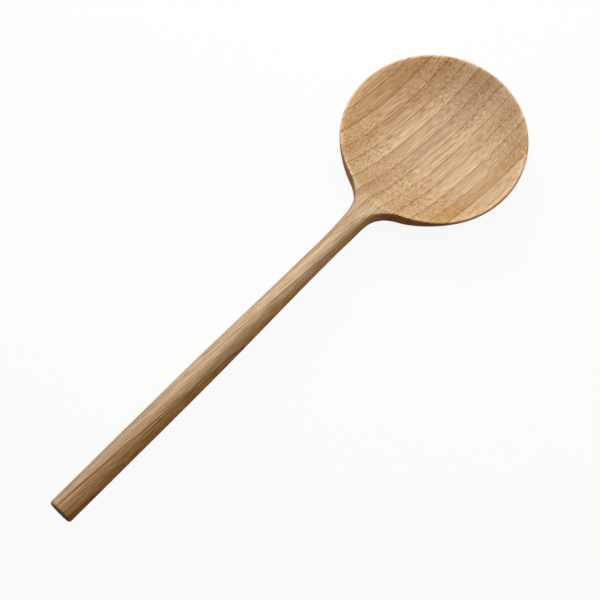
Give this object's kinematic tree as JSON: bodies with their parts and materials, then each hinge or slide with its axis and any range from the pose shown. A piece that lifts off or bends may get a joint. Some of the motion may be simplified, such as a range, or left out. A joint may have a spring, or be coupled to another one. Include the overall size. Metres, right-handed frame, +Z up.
{
  "type": "ladle",
  "caption": "Large round ladle with a shallow bowl and a straight tapered round handle, cut from a laminated bamboo board, for serving and stirring.",
  "frame": {"origin": "on the flat under the bowl, below the bowl's centre", "axes": "+Z up through the rim, +X from the handle to the far side of the bowl, handle along -X"},
  "size_m": [0.315, 0.097, 0.018],
  "materials": {
    "bamboo_honey": "oiled satin bamboo, honey strip",
    "bamboo_tan": "oiled satin bamboo, tan strip",
    "bamboo_pale": "oiled satin bamboo, pale strip",
    "bamboo_rosy": "oiled satin bamboo, rosy strip",
    "glue": "cured brown adhesive film"
  },
  "bodies": {
    "root": {"left_strip_1": "bamboo_tan", "left_strip_2": "bamboo_pale", "left_strip_3": "bamboo_rosy", "left_strip_4": "bamboo_honey", "left_strip_5": "bamboo_tan", "left_strip_6": "bamboo_pale", "left_strip_7": "bamboo_rosy", "right_strip_1": "bamboo_rosy", "right_strip_2": "bamboo_pale", "right_strip_3": "bamboo_tan", "right_strip_4": "bamboo_honey", "right_strip_5": "bamboo_rosy", "right_strip_6": "bamboo_pale", "right_handle_strip_3": "bamboo_tan", "right_handle_strip_4": "bamboo_honey", "middle_glue_line": "glue", "left_glue_line_1": "glue", "left_glue_line_2": "glue", "left_glue_line_3": "glue", "left_glue_line_4": "glue", "left_glue_line_5": "glue", "left_glue_line_6": "glue", "right_glue_line_1": "glue", "right_glue_line_2": "glue", "right_glue_line_3": "glue", "right_glue_line_4": "glue", "right_glue_line_5": "glue", "right_handle_glue_line_2": "glue", "right_handle_glue_line_3": "glue"}
  },
  "joints": []
}
